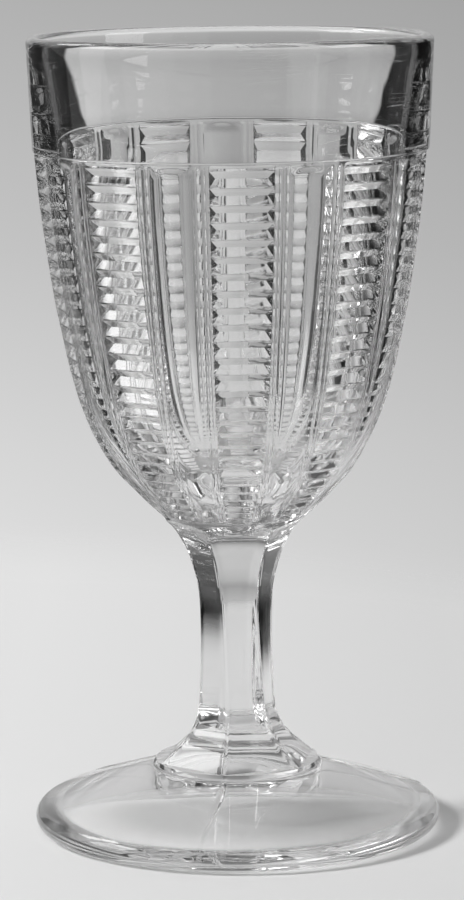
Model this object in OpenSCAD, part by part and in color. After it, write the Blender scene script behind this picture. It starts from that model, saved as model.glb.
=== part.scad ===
// Water goblet in clear pressed glass.
// Ribbed panels, each a stack of crosswise notches, stand between plain hollow flutes.
// The origin is the centre of the resting ring and +Z is up the axis of the glass.

/* [Overall] */
// Height from the resting ring to the rim
goblet_h = 155.5; // [140:0.5:175]
// Width across the plain band, at the rim
rim_d = 78.4; // [70:0.2:88]
// Width of the foot
foot_d = 79.8; // [70:0.2:90]
// Height of the joint between stem and bowl
neck_z = 57.6; // [52:0.2:62]
// Height of the joint between foot and stem
collar_z = 13.4; // [11:0.2:16]

/* [Bowl] */
// Thickness of the glass at the rim
rim_wall = 2.6; // [2:0.1:4]
// How much the plain band narrows from the rim to its lower edge
band_taper = 0.9; // [0:0.1:1.5]
// Height of the plain band
band_h = 22.2; // [16:0.2:28]
// Radius of the band's lower edge
band_edge_r = 0.5; // [0.2:0.1:0.8]
// How far the band stands out from the patterned wall
band_step = 0.4; // [0.2:0.1:0.8]
// Thickness of solid glass from the neck to the floor inside
floor_t = 12.4; // [9:0.2:16]
// Height of the smooth cone between the neck and the pattern
underside_h = 4.6; // [3.6:0.2:6]
// How far the pattern's lower edge stands out from that cone
pattern_edge = 0.3; // [0.1:0.1:0.6]
// How far the stem's corners end below the arched tops of its faces
scallop_h = 1.7; // [1:0.1:2.4]

/* [Pattern] */
// Number of ribbed panels, with a flute between each two
panels = 9; // [7:1:11]
// Share of the way round that the ribbed panels take
panel_share = 0.4625; // [0.38:0.0025:0.52]
// Share of the way round that one ribbed border takes, on each side of a panel
border_share = 0.1125; // [0.07:0.0025:0.13]
// Angle of the first panel from the front
pattern_turn = 3; // [-20:1:20]
// Number of notches of full height on a panel
full_notches = 14; // [10:1:16]
// Height of one full notch
notch_h = 3.2; // [2.6:0.05:3.6]
// Number of notches that crowd together below them
low_notches = 13; // [9:1:15]
// How strongly the lower notches crowd
crowding = 0.43; // [0:0.01:0.6]
// Depth of a notch as a share of its height
notch_depth_share = 0.36; // [0.2:0.01:0.45]
// Length of the sloping end of a notch as a share of its height
notch_end_share = 0.33; // [0.15:0.01:0.6]
// Plain strip between the band and the panels
panel_gap = 1.1; // [0.8:0.1:3]
// Plain strip below the lowest notch
pattern_gap = 0.5; // [0.3:0.1:1.5]
// Height of the two fine ribs beside each panel
border_rib = 0.2; // [0.1:0.05:0.5]
// Depth of the hollow along the middle of a flute
flute_depth = 0.45; // [0.3:0.05:1]

/* [Stem] */
// Corner radius of the six-sided stem where it is thinnest
waist_r = 7.25; // [5.5:0.05:9]
// Corner radius of the stem at the neck
neck_r = 10.9; // [9.8:0.1:12.2]
// Angle of the stem's first corner from the front, at the neck
stem_turn = 34.25; // [0:0.25:60]
// How far the stem is twisted from the neck down to the collar
stem_twist = 15.5; // [0:0.5:20]

/* [Foot] */
// Height of the foot's rounded edge
edge_h = 5; // [4:0.1:6.5]
// Width of the foot's flat resting ring
ring_w = 3.2; // [2:0.1:6]
// Depth of the hollow under the foot
hollow = 8.5; // [1:0.1:9]
// How steeply the hollow rises: 1 is a straight cone, 2 a round dome
hollow_form = 1.5; // [1:0.1:3]
// Radius of the round collar under the stem
collar_r = 16.7; // [15:0.1:20]
// Height of the collar's edge above the slope of the foot
collar_lip = 0.7; // [0.3:0.1:1.2]
// Width of the collar's top left bare beyond the stem's corners
collar_ledge = 0.1; // [0:0.1:1.5]

/* [Hidden] */

clear_glass = [0.90, 0.92, 0.92, 0.45];
stem_sides = 6;
$fn = 120;
turn_steps = 8;          // straight steps in a rounded edge
curve_steps = 24;        // straight steps along a bowl's, stem's or foot's curve
overrun = 2;             // how far a cut reaches past what it cuts
core_share = 0.8;        // radius of hidden cores beside the wall around them

rim_r = rim_d / 2;
foot_r = foot_d / 2;
rim_round = rim_wall / 2;
band_z = goblet_h - band_h;
pattern_z = neck_z + underside_h;
band_low_r = rim_r - band_taper;
field_r = band_low_r - band_step;
stem_h = neck_z - collar_z;
stem_base_r = collar_r - collar_lip - collar_ledge;

// Outside of the bowl below the band: share of the height, share of the upper radius
field_shares = [
    [0.000, 0.378], [0.035, 0.447], [0.075, 0.520], [0.118, 0.597], [0.156, 0.648],
    [0.205, 0.700], [0.260, 0.748], [0.337, 0.799], [0.421, 0.840], [0.511, 0.875],
    [0.585, 0.903], [0.729, 0.944], [0.864, 0.977], [1.000, 1.000]
];
// Inside of the bowl: share of the depth, share of the radius inside the rim
hollow_shares = [
    [0.000, 0.000], [0.004, 0.110], [0.016, 0.230], [0.040, 0.365], [0.075, 0.490],
    [0.125, 0.600], [0.198, 0.693], [0.292, 0.762], [0.409, 0.819], [0.585, 0.880],
    [0.740, 0.922], [0.985, 0.998]
];
hollow_end_share = 0.985;
// Corner radius of the stem: share of the height, share of the way from waist to end
upper_stem_shares = [
    [0.00, 0.00], [0.20, 0.00], [0.37, 0.02], [0.50, 0.08], [0.60, 0.18], [0.69, 0.31],
    [0.79, 0.47], [0.885, 0.68], [1.00, 1.00]
];
lower_stem_shares = [
    [0.00, 0.000], [0.20, 0.015], [0.38, 0.04], [0.53, 0.07], [0.64, 0.125], [0.73, 0.235],
    [0.79, 0.35], [0.86, 0.53], [0.93, 0.77], [1.00, 1.00]
];
// Above the neck: share of the cone's height, share of the way from neck to cone
flare_shares = [
    [0.00, 0.00], [0.20, 0.10], [0.435, 0.24], [0.63, 0.40], [0.80, 0.63], [1.00, 1.00]
];
waist_share = 0.55;      // height of the stem's waist as a share of the stem

// Value of a table at x, on a smooth curve through its points
function table_slope(t, i) =
    let (a = t[max(i - 1, 0)], b = t[min(i + 1, len(t) - 1)]) (b[1] - a[1]) / (b[0] - a[0]);
function table_row(t, x, i = 0) = i >= len(t) - 2 || x <= t[i + 1][0] ? i : table_row(t, x, i + 1);
function smooth(t, x) =
    let (i = table_row(t, x), h = t[i + 1][0] - t[i][0], u = (x - t[i][0]) / h)
    t[i][1] * (1 + 2 * u) * (1 - u) * (1 - u) + table_slope(t, i) * h * u * (1 - u) * (1 - u)
    + t[i + 1][1] * u * u * (3 - 2 * u) + table_slope(t, i + 1) * h * u * u * (u - 1);

// Points of a rounded corner around a centre
function arc(centre, radius, from, to) =
    [for (s = [0:turn_steps]) let (a = from + (to - from) * s / turn_steps)
        centre + radius * [cos(a), sin(a)]];

// Radius of the patterned wall at a height
function field(z) = field_r * smooth(field_shares, (z - pattern_z) / (band_z - pattern_z));

// Heights of the crests between the notches, from the top down
notches = full_notches + low_notches;
panel_top = band_z - panel_gap;
full_end = panel_top - full_notches * notch_h;
low_end = pattern_z + pattern_gap;
function crest_z(i) =
    i <= full_notches ? panel_top - i * notch_h
    : let (u = (i - full_notches) / low_notches)
        full_end - (full_end - low_end) * (u + crowding * u * (1 - u));

// Angles in one repeat, from the middle of its panel
pitch_angle = 360 / panels;
panel_half = pitch_angle * panel_share / 2;
border_angle = pitch_angle * border_share;
flute_half = pitch_angle / 2 - panel_half - border_angle;

// Columns between one panel and the next: place across the border with its rib's height,
// and place across the flute from its middle
border_columns = [[0.25, border_rib], [0.5, 0], [0.8, border_rib], [1, 0]];
flute_columns = [-0.66, -0.33, 0, 0.33, 0.66];
arch_h = flute_half * field_r * PI / 180;

// How far the wall stands out at a column and height, fading at both ends of the pattern
function fade(z) = max(0, min(1, (panel_top + panel_gap / 2 - z) / notch_h, (z - low_end) / notch_h));
function scoop(place, z) =
    let (up = max(0, z - (panel_top + panel_gap / 2 - arch_h)) / arch_h,
         down = max(0, low_end + arch_h - z) / arch_h)
    -flute_depth * max(0, 1 - place * place - up * up - down * down);

columns = concat(
    [for (c = border_columns) [panel_half + c[0] * border_angle, c[1], 0]],
    [for (t = flute_columns) [pitch_angle / 2 + t * flute_half, 0, t]],
    [for (i = [len(border_columns) - 1:-1:0])
        let (c = border_columns[i])
        [pitch_angle - panel_half - c[0] * border_angle, c[1], 0]]
);
function column_out(c, z) =
    c[0] > panel_half + border_angle && c[0] < pitch_angle - panel_half - border_angle
        ? scoop(c[2], z) : c[1] * fade(z);

// Crests where the borders and flutes have a row of points: each near the ends, else every other
function has_row(i) = i <= 2 || i >= notches - 2 || i % 2 == 0;
rows = [for (i = [0:notches]) if (has_row(i)) i];

function around(radius, angle, z) = [radius * sin(angle), -radius * cos(angle), z];

// Patterned wall as a solid core, cut hollow later
module patterned_core() {
    panel_points = 4 * notches + 2;
    column_rows = len(rows);
    repeat_points = panel_points + len(columns) * column_rows;
    top_z = band_z + 2 * band_edge_r;
    top_r = field(band_z) - band_edge_r;
    ring_at = panels * repeat_points;
    ring_points = 2 + len(columns);
    low_z = pattern_z;

    function angle_of(k) = pattern_turn + k * pitch_angle;
    function panel_part(k) = [
        for (i = [0:notches]) for (side = [-1, 1])
            around(field(crest_z(i)), angle_of(k) + side * panel_half, crest_z(i)),
        for (i = [0:notches - 1]) for (side = [-1, 1])
            let (z = (crest_z(i) + crest_z(i + 1)) / 2, gap = crest_z(i) - crest_z(i + 1),
                 r = (field(crest_z(i)) + field(crest_z(i + 1))) / 2,
                 x = side * (r * sin(panel_half) - gap * notch_end_share),
                 y = -(r * cos(panel_half) - gap * notch_depth_share), a = angle_of(k))
            [x * cos(a) - y * sin(a), x * sin(a) + y * cos(a), z]
    ];
    function column_part(k) = [
        for (c = columns) for (i = rows)
            let (z = crest_z(i)) around(field(z) + column_out(c, z), angle_of(k) + c[0], z)
    ];
    function ring(radius, z) = [
        for (k = [0:panels - 1])
            for (a = concat([-panel_half, panel_half], [for (c = columns) c[0]]))
                around(radius, angle_of(k) + a, z)
    ];
    points = concat(
        [for (k = [0:panels - 1]) for (p = concat(panel_part(k), column_part(k))) p],
        ring(top_r, top_z), ring(field(band_z), band_z - panel_gap / 4), ring(field(low_z), low_z),
        [[0, 0, top_z], [0, 0, low_z]]
    );

    // Numbers of the points
    function crest(k, i, side) = (k % panels) * repeat_points + 2 * i + side;
    function valley(k, i, side) = (k % panels) * repeat_points + 2 * (notches + 1) + 2 * i + side;
    function column(k, c, row) =
        (k % panels) * repeat_points + panel_points + c * column_rows + row;
    function ring_point(level, k, n) =
        ring_at + level * panels * ring_points + (k % panels) * ring_points + n;
    top_middle = ring_at + 3 * panels * ring_points;
    low_middle = top_middle + 1;

    notch_faces = [
        for (k = [0:panels - 1]) for (i = [0:notches - 1]) each [
            [crest(k, i, 0), crest(k, i, 1), valley(k, i, 1), valley(k, i, 0)],
            [valley(k, i, 0), valley(k, i, 1), crest(k, i + 1, 1), crest(k, i + 1, 0)],
            [crest(k, i, 0), valley(k, i, 0), crest(k, i + 1, 0)],
            [crest(k, i, 1), crest(k, i + 1, 1), valley(k, i, 1)]
        ]
    ];
    // From a panel's edge, with a point at each crest, to the column beside it
    function edge_faces(k, side, c, owner) = [
        for (row = [0:column_rows - 2])
            let (a = rows[row], b = rows[row + 1],
                 near = [for (i = [a:b]) crest(owner, i, side)],
                 up = column(k, c, row), down = column(k, c, row + 1),
                 strip = len(near) == 2
                    ? [[near[0], up, down], [near[0], down, near[1]]]
                    : [[near[0], up, near[1]], [near[1], up, down], [near[1], down, near[2]]])
            each side == 1 ? strip : [for (f = strip) [f[2], f[1], f[0]]]
    ];
    column_faces = [
        for (k = [0:panels - 1]) each concat(
            edge_faces(k, 1, 0, k),
            edge_faces(k, 0, len(columns) - 1, k + 1),
            [for (c = [0:len(columns) - 2]) for (row = [0:column_rows - 2]) each [
                [column(k, c, row), column(k, c + 1, row), column(k, c + 1, row + 1)],
                [column(k, c, row), column(k, c + 1, row + 1), column(k, c, row + 1)]
            ]]
        )
    ];
    // Ring of points at the pattern's top (end = 0) or bottom (end = 1), in order round the bowl
    function end_ring(end) = [
        for (k = [0:panels - 1]) each concat(
            [crest(k, end * notches, 0), crest(k, end * notches, 1)],
            [for (c = [0:len(columns) - 1]) column(k, c, end * (column_rows - 1))]
        )
    ];
    function level_ring(level) =
        [for (k = [0:panels - 1]) for (n = [0:ring_points - 1]) ring_point(level, k, n)];
    function band_faces(upper, lower) = [
        for (n = [0:len(upper) - 1]) let (m = (n + 1) % len(upper)) each [
            [upper[n], upper[m], lower[m]], [upper[n], lower[m], lower[n]]
        ]
    ];
    cap_faces = concat(
        band_faces(level_ring(0), level_ring(1)),
        band_faces(level_ring(1), end_ring(0)),
        band_faces(end_ring(1), level_ring(2)),
        [let (r = level_ring(0)) for (n = [0:len(r) - 1]) [top_middle, r[(n + 1) % len(r)], r[n]]],
        [let (r = level_ring(2)) for (n = [0:len(r) - 1]) [low_middle, r[n], r[(n + 1) % len(r)]]]
    );
    polyhedron(points, concat(notch_faces, column_faces, cap_faces), convexity = 6);
}

// Plain band with its rounded rim and lower edge
module plain_band() {
    rim_z = goblet_h - rim_round;
    rotate_extrude() polygon(concat(
        [[core_share * band_low_r, band_z]],
        arc([band_low_r - band_edge_r, band_z + band_edge_r], band_edge_r, -90, 0),
        arc([rim_r - rim_round, rim_z], rim_round, 0, 180),
        [[core_share * band_low_r, rim_z - overrun]]
    ));
}

// Space inside the bowl
module bowl_space() {
    inside_r = rim_r - rim_wall;
    floor_z = neck_z + floor_t;
    depth = goblet_h - rim_round - floor_z;
    // the steps grow upwards, because the curve is tightest at the floor
    rotate_extrude() polygon(concat(
        [for (i = [0:curve_steps]) let (s = hollow_end_share * pow(i / curve_steps, 2))
            [smooth(hollow_shares, s) * inside_r, floor_z + s * depth]],
        [[inside_r, goblet_h - rim_round], [inside_r, goblet_h + overrun], [0, goblet_h + overrun]]
    ));
}

// Smooth cone under the pattern, cut by the six faces of the stem as they sweep out
module underside() {
    cone_r = field(pattern_z) - pattern_edge;
    face_r = field(pattern_z) / cos(180 / stem_sides);
    corner_share = 1 - scallop_h / underside_h;
    corner_r = neck_r + smooth(flare_shares, corner_share) * (face_r - neck_r);
    low_r = cone_r - (cone_r - corner_r) / (1 - corner_share);
    intersection() {
        rotate_extrude() polygon([
            [0, neck_z], [low_r, neck_z], [cone_r, pattern_z],
            [core_share * cone_r, pattern_z + overrun], [0, pattern_z + overrun]
        ]);
        rotate(stem_turn - 90) rotate_extrude($fn = stem_sides) polygon(concat(
            [[0, neck_z]],
            [for (i = [0:turn_steps]) let (s = i / turn_steps)
                [neck_r + smooth(flare_shares, s) * (face_r - neck_r), neck_z + s * underside_h]],
            [[face_r, pattern_z + overrun], [0, pattern_z + overrun]]
        ));
    }
}

module bowl() {
    color(clear_glass) difference() {
        union() {
            patterned_core();
            plain_band();
            underside();
        }
        bowl_space();
    }
}

// Six-sided column from the collar to the neck, twisted as it goes down
module stem() {
    waist_z = collar_z + waist_share * stem_h;
    steps = curve_steps / 2;
    levels = concat(
        [for (i = [steps:-1:1]) let (s = i / steps)
            [waist_r + smooth(lower_stem_shares, s) * (stem_base_r - waist_r),
             waist_z - s * (waist_z - collar_z)]],
        [for (i = [0:steps]) let (s = i / steps)
            [waist_r + smooth(upper_stem_shares, s) * (neck_r - waist_r),
             waist_z + s * (neck_z - waist_z)]]
    );
    top = len(levels) - 1;
    points = [for (l = levels) for (i = [0:stem_sides - 1])
        around(l[0], stem_turn + stem_twist * (neck_z - l[1]) / stem_h + i * 360 / stem_sides, l[1])];
    function point(level, i) = level * stem_sides + i % stem_sides;
    color(clear_glass) polyhedron(points, concat(
        [for (k = [0:top - 1]) for (i = [0:stem_sides - 1]) each [
            [point(k, i), point(k + 1, i), point(k + 1, i + 1)],
            [point(k, i), point(k + 1, i + 1), point(k, i + 1)]
        ]],
        [[for (i = [0:stem_sides - 1]) point(0, i)]],
        [[for (i = [stem_sides - 1:-1:0]) point(top, i)]]
    ), convexity = 3);
}

module foot() {
    edge_r = edge_h / 2;
    lip_z = collar_z - 1.2 * collar_lip;
    slope_z = lip_z - collar_lip;
    slope = atan2(slope_z - edge_h, foot_r - edge_r - collar_r);
    hollow_r = foot_r - edge_r - ring_w;
    color(clear_glass) rotate_extrude() polygon(concat(
        [for (i = [0:turn_steps]) let (s = i / turn_steps)
            [hollow_r * s, hollow * (1 - pow(s, hollow_form))]],
        arc([foot_r - edge_r, edge_r], edge_r, -90, 90 - slope),
        [[collar_r, slope_z], [collar_r, lip_z], [collar_r - collar_lip, collar_z],
         [0, collar_z]]
    ));
}

bowl();
stem();
foot();
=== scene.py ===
# %% [markdown]
# # A pressed-glass water goblet
# This file dresses a goblet whose solids come from a CAD model. The real thing is a single
# piece of soda-lime glass, pressed hot into an iron mould: a plain band above nine ribbed
# panels and nine flutes, a six-sided stem and a round foot. The file goes from the camera and
# the light to the glass itself, one step at a time. Sizes are in millimetres until a mesh is
# made, because that is how a glassmaker would give them.

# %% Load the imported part
import math

import bmesh
import bpy
import numpy as np
from mathutils import Matrix, Vector


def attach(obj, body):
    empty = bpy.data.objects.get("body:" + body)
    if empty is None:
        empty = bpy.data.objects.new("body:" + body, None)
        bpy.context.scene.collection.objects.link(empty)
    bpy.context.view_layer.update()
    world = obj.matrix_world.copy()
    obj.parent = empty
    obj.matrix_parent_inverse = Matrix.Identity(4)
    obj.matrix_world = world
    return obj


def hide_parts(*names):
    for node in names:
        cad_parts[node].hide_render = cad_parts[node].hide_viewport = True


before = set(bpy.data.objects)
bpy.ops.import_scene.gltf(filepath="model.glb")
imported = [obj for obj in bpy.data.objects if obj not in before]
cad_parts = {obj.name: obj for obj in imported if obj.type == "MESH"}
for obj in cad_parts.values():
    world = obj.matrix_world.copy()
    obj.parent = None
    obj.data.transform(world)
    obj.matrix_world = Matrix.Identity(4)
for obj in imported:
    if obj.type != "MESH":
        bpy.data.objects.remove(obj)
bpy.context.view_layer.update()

# %% Two small helpers
MM = 0.001


def linear(code):
    """A hex colour as it is seen on screen, turned into the linear values that light uses."""
    parts = [int(code[i:i + 2], 16) / 255 for i in (1, 3, 5)]
    low = [c / 12.92 if c <= 0.04045 else ((c + 0.055) / 1.055) ** 2.4 for c in parts]
    return tuple(low) + (1.0,)


def add(tree, kind, inputs=(), **settings):
    """Add a node with its settings. Inputs pairs a socket with a value, with another node's
    socket, or with the node itself, which stands for its first socket in use."""
    node = tree.nodes.new(kind)
    for name, value in settings.items():
        setattr(node, name, value)
    for key, value in dict(inputs).items():
        if isinstance(value, bpy.types.Node):
            value = next(out for out in value.outputs if out.enabled)
        if isinstance(value, bpy.types.NodeSocket):
            tree.links.new(value, node.inputs[key])
        else:
            node.inputs[key].default_value = value
    return node


print("white is", linear("#FFFFFF"))

# %% [markdown]
# ## The camera
# The photograph is taken from a little above the rim with a long lens, which keeps the rim a
# thin ellipse while the foot, further below the lens, opens up. The camera's height, distance
# and lens were worked out from those two ellipses, and a slight roll follows the tilt of the
# picture.

# %% Camera
CAMERA_BACK, CAMERA_UP, CAMERA_SIDE = 716.1, 186.6, -0.4
LENS, SENSOR, LOOK_DOWN, ROLL = 148.5, 36.0, 8.88, -0.6
NEAR, FAR = 20.0, 20000.0

camera_data = bpy.data.cameras.new("camera")
camera_data.lens = LENS
camera_data.sensor_width = SENSOR
camera_data.clip_start, camera_data.clip_end = NEAR * MM, FAR * MM
camera = bpy.data.objects.new("camera", camera_data)
camera.location = Vector((CAMERA_SIDE, -CAMERA_BACK, CAMERA_UP)) * MM
tilt = Matrix.Rotation(math.radians(90 - LOOK_DOWN), 4, "X")
camera.rotation_euler = (tilt @ Matrix.Rotation(math.radians(ROLL), 4, "Z")).to_euler()
bpy.context.collection.objects.link(camera)
bpy.context.scene.camera = camera
print("lens", LENS, "mm at", [round(v, 4) for v in camera.location])

# %% [markdown]
# ## The surroundings
# Clear glass has no look of its own: it bends the room. Photographers light it with a bright
# panel behind and darkness to the sides, because the steep edges of the glass then pick up the
# dark and draw its outline. A photograph of a room could stand in for it, but sheets and gaps
# worked out from a ray's direction are smooth, and a number moves each of them. The first of
# them is the backdrop. It is all that rays straight from the camera see, and it fades upwards.

# %% Backdrop
# A height is the Z of a ray's direction: 0 is level, 1 straight up, -0.2 about 12 degrees down
BACKDROP_FROM, BACKDROP_TO = -0.28, 0.02
BACKDROP_LOW, BACKDROP_HIGH = "#DCDCDC", "#BEBEBE"
BACKDROP_BETWEEN = (0.30, "#D8D8D8"), (0.42, "#CFCFCF"), (0.60, "#BDBDBD"), (0.82, "#ACACAC")
SIDE_X, LEFT_LIGHT, RIGHT_LIGHT = 0.07, 1.09, 0.90     # it is lit from the left

world = bpy.data.worlds.new("studio")
bpy.context.scene.world = world
world.use_nodes = True
wt = world.node_tree
wt.nodes.clear()
direction = add(wt, "ShaderNodeTexCoord").outputs["Generated"]
towards = add(wt, "ShaderNodeSeparateXYZ", {0: direction}).outputs
height = towards["Z"]
climb = add(wt, "ShaderNodeMapRange", {0: height, 1: BACKDROP_FROM, 2: BACKDROP_TO})
fade_up = add(wt, "ShaderNodeValToRGB", {0: climb})
ramp = fade_up.color_ramp
ramp.elements[0].color, ramp.elements[1].color = linear(BACKDROP_LOW), linear(BACKDROP_HIGH)
for share, code in BACKDROP_BETWEEN:
    ramp.elements.new(share).color = linear(code)
fall_off = add(wt, "ShaderNodeMapRange", {
    0: towards["X"], 1: -SIDE_X, 2: SIDE_X, 3: LEFT_LIGHT, 4: RIGHT_LIGHT})
backdrop = add(wt, "ShaderNodeVectorMath", {0: fade_up, 1: fall_off}, operation="MULTIPLY")
print("backdrop from", BACKDROP_LOW, "up to", BACKDROP_HIGH)

# %% [markdown]
# ## Pale sheets
# Seen through the glass, pale sheets stand behind the goblet, to its left and in front of its
# right side, so that every side of it has a bright panel behind it and dark next to that. How far
# a direction points away from the nearest sheet tells sheet from gap.

# %% Sheets round the goblet
SHEET_AT = (90, 180, -45)               # where they stand, in degrees from +X towards +Y
SHEET_HALF, SHEET_SOFT = 9.5, 1.0       # degrees of a sheet to each side, and of its soft edge
SHEET_WIDER, WIDER_FROM, WIDER_TO = 22.0, -0.14, 0.01     # degrees added to the half, by height

level = add(wt, "ShaderNodeVectorMath", {0: direction, 1: (1, 1, 0)}, operation="MULTIPLY")
bearing = add(wt, "ShaderNodeVectorMath", {0: level}, operation="NORMALIZE")
nearest = None
for angle in SHEET_AT:
    sheet = (math.cos(math.radians(angle)), math.sin(math.radians(angle)), 0)
    dot = add(wt, "ShaderNodeVectorMath", {0: bearing, 1: sheet}, operation="DOT_PRODUCT")
    nearest = dot if nearest is None else add(
        wt, "ShaderNodeMath", {0: nearest, 1: dot}, operation="MAXIMUM")
away = add(wt, "ShaderNodeMath", {0: nearest}, operation="ARCCOSINE")
wider = add(wt, "ShaderNodeMapRange", {
    0: height, 1: WIDER_FROM, 2: WIDER_TO, 4: math.radians(SHEET_WIDER)})
past = add(wt, "ShaderNodeMath", {0: away, 1: wider}, operation="SUBTRACT")
gap = add(wt, "ShaderNodeMapRange", {
    0: past, 1: math.radians(SHEET_HALF), 2: math.radians(SHEET_HALF + SHEET_SOFT)},
    interpolation_type="SMOOTHSTEP")
print("sheets at", SHEET_AT, "degrees")

# %% Their light
SHEET_DIM, DIM_FROM, DIM_TO = 0.82, -0.23, -0.16            # dimmer than the backdrop up to level
SHEET_BRIGHT, BRIGHT_FROM, BRIGHT_TO = 1.10, 0.0, 0.09      # and brighter above it

dimmer = add(wt, "ShaderNodeMapRange", {0: height, 1: DIM_FROM, 2: DIM_TO, 3: 1.0, 4: SHEET_DIM})
brighter = add(wt, "ShaderNodeMapRange", {
    0: height, 1: BRIGHT_FROM, 2: BRIGHT_TO, 3: SHEET_DIM, 4: SHEET_BRIGHT})
light = add(wt, "ShaderNodeMath", {0: dimmer, 1: brighter}, operation="MAXIMUM")
pale = add(wt, "ShaderNodeVectorMath", {0: backdrop, 1: light}, operation="MULTIPLY")
print("light of a sheet from", SHEET_DIM, "to", SHEET_BRIGHT, "times the backdrop's")

# %% [markdown]
# ## Dim gaps
# Between the sheets the room is grey at the height of the glass and nearly black lower down. It
# is darker still on the right, away from the window. High up, sheets and gaps both give way to a
# grey ceiling, so a view from above stays calm.

# %% Gaps and ceiling
GAP_GREY, GAP_BLACK, BLACK_UNDER, GREY_OVER = "#484848", "#161616", -0.20, -0.10    # by height
RIGHT_SHARE, RIGHT_FROM, RIGHT_TO = 0.35, 0.32, 0.55        # by the bearing's X
CEILING, CEILING_FROM, CEILING_TO = "#6E6E6E", 0.30, 0.75

blackness = add(wt, "ShaderNodeMapRange", {0: height, 1: BLACK_UNDER, 2: GREY_OVER, 3: 1.0, 4: 0.0})
dark = add(wt, "ShaderNodeMix", {
    0: blackness, 6: linear(GAP_GREY), 7: linear(GAP_BLACK)}, data_type="RGBA")
rightward = add(wt, "ShaderNodeMapRange", {
    0: add(wt, "ShaderNodeSeparateXYZ", {0: bearing}).outputs["X"],
    1: RIGHT_FROM, 2: RIGHT_TO, 3: 1.0, 4: RIGHT_SHARE})
shadows = add(wt, "ShaderNodeVectorMath", {0: dark, 1: rightward}, operation="MULTIPLY")
walls = add(wt, "ShaderNodeMix", {0: gap, 6: pale, 7: shadows}, data_type="RGBA")
overhead = add(wt, "ShaderNodeMapRange", {
    0: height, 1: CEILING_FROM, 2: CEILING_TO}, interpolation_type="SMOOTHSTEP")
room = add(wt, "ShaderNodeMix", {0: overhead, 6: walls, 7: linear(CEILING)}, data_type="RGBA")
print("gaps from", GAP_GREY, "down to", GAP_BLACK)

# %% [markdown]
# ## Which ray sees what
# The camera sees the backdrop. Glass that the camera sees shows the room with its sheets and
# gaps. The paper gets the light of an even grey, or the sheets would leave bands on it.

# %% The world's output
PAPER_LIGHT = "#ACACAC"

rays = add(wt, "ShaderNodeLightPath").outputs
in_glass = add(wt, "ShaderNodeMath", {
    0: rays["Is Glossy Ray"], 1: rays["Is Transmission Ray"]}, operation="MAXIMUM")
before_paper = add(wt, "ShaderNodeMath", {
    0: in_glass, 1: rays["Diffuse Depth"]}, operation="SUBTRACT", use_clamp=True)
lit = add(wt, "ShaderNodeMix", {
    0: before_paper, 6: linear(PAPER_LIGHT), 7: room}, data_type="RGBA")
seen = add(wt, "ShaderNodeMix", {
    0: rays["Is Camera Ray"], 6: lit, 7: backdrop}, data_type="RGBA")
sky = add(wt, "ShaderNodeBackground", {"Color": seen, "Strength": 1.0})
add(wt, "ShaderNodeOutputWorld", {"Surface": sky})
print("world nodes", len(wt.nodes))

# %% [markdown]
# ## The paper
# The goblet stands on matt white paper. Glass shows the paper bent and squeezed, so where the
# paper ends decides where the dark in the glass begins. A sheet cut to size would show its edge
# to the camera, so this one is large and turns clear towards its end: far out where it is seen
# directly, and much nearer for rays that have been through the glass.

# %% Sheet of paper
PAPER_R, PAPER_SIDES, PAPER_Z = 900.0, 96, -0.1         # a round sheet, just under the goblet

turns = [2 * math.pi * i / PAPER_SIDES for i in range(PAPER_SIDES)]
floor_mesh = bpy.data.meshes.new("floor")
floor_mesh.from_pydata([(PAPER_R * math.cos(a) * MM, PAPER_R * math.sin(a) * MM, PAPER_Z * MM)
                        for a in turns], [], [list(range(PAPER_SIDES))])
floor = bpy.data.objects.new("floor", floor_mesh)
bpy.context.collection.objects.link(floor)
paper = bpy.data.materials.new("matt white paper")
paper.use_nodes = True
pt = paper.node_tree
pt.nodes.clear()
floor_mesh.materials.append(paper)
place = add(pt, "ShaderNodeTexCoord").outputs["Object"]
spot = add(pt, "ShaderNodeSeparateXYZ", {0: place}).outputs
direct = add(pt, "ShaderNodeLightPath").outputs["Is Camera Ray"]
print("paper", 2 * PAPER_R, "mm wide")

# %% Where it ends in the glass
ROUND_AT, ROUND_FROM, ROUND_TO = (-120.0, 60.0), 200.0, 300.0    # a round end, off to the back left
CUT_SLANT, CUT_FROM, CUT_TO = -0.40, 90.0, 150.0                 # a slanting end behind the goblet
CUT_X_FROM, CUT_X_TO = -50.0, -30.0                              # which is only on its left

from_middle = add(pt, "ShaderNodeVectorMath", {
    0: place, 1: (ROUND_AT[0] * MM, ROUND_AT[1] * MM, 0)}, operation="SUBTRACT")
reach = add(pt, "ShaderNodeVectorMath", {0: from_middle}, operation="LENGTH")
round_end = add(pt, "ShaderNodeMapRange", {
    0: reach, 1: ROUND_FROM * MM, 2: ROUND_TO * MM}, interpolation_type="SMOOTHSTEP")
slanted = add(pt, "ShaderNodeVectorMath", {
    0: place, 1: (CUT_SLANT, 1.0, 0)}, operation="DOT_PRODUCT")
behind = add(pt, "ShaderNodeMapRange", {
    0: slanted, 1: CUT_FROM * MM, 2: CUT_TO * MM}, interpolation_type="SMOOTHSTEP")
on_left = add(pt, "ShaderNodeMapRange", {
    0: spot["X"], 1: CUT_X_FROM * MM, 2: CUT_X_TO * MM, 3: 1.0, 4: 0.0})
cut = add(pt, "ShaderNodeMath", {0: behind, 1: on_left}, operation="MULTIPLY")
cut_in_glass = add(pt, "ShaderNodeMath", {0: cut, 1: direct}, operation="SUBTRACT", use_clamp=True)
ended = add(pt, "ShaderNodeMath", {0: round_end, 1: cut_in_glass}, operation="MAXIMUM")
print("seen through the glass, it ends", ROUND_FROM, "to", ROUND_TO, "mm from", ROUND_AT)

# %% Where it ends for the camera
FRONT_FROM, FRONT_TO = 60.0, 260.0              # whole in front of the goblet and beside it
FAR_FROM, FAR_TO = 300.0, 760.0                 # but not far from it

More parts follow.
